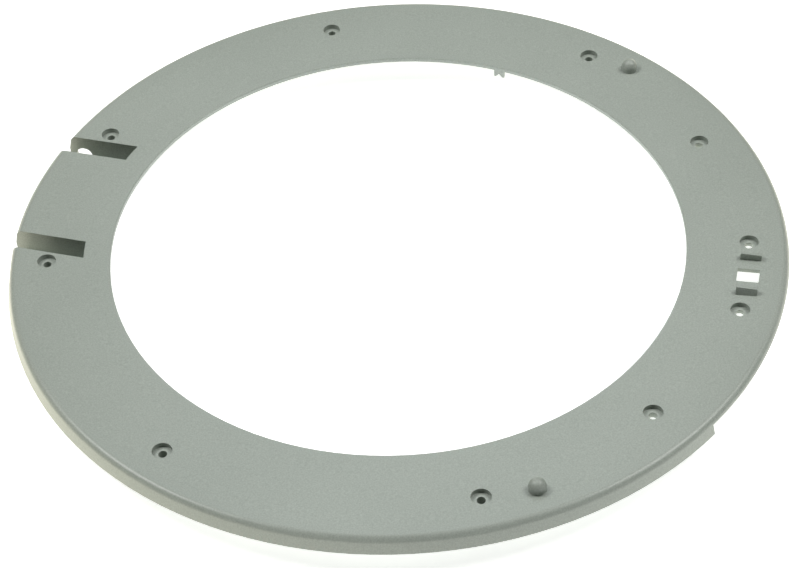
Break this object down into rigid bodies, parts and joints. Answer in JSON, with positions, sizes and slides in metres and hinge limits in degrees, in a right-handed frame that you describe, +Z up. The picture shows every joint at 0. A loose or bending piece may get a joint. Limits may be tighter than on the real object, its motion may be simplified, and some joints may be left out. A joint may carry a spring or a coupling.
{
  "type": "washing machine porthole frame",
  "caption": "Round moulded inner frame for a front-loader door: dished face, flared skirt, screw seats, hinge slots, latch window with guide ribs and a finger-grip cut-away.",
  "frame": {"origin": "centre of the ring on the plane that its screw towers and hinge pockets stand on", "axes": "+Z up through the machine-facing side, +X from the hinge to the latch"},
  "size_m": [0.3986, 0.4, 0.0251],
  "materials": {
    "grey_plastic": "satin, fine moulded grain"
  },
  "bodies": {
    "root": {"porthole_frame": "grey_plastic"}
  },
  "joints": []
}
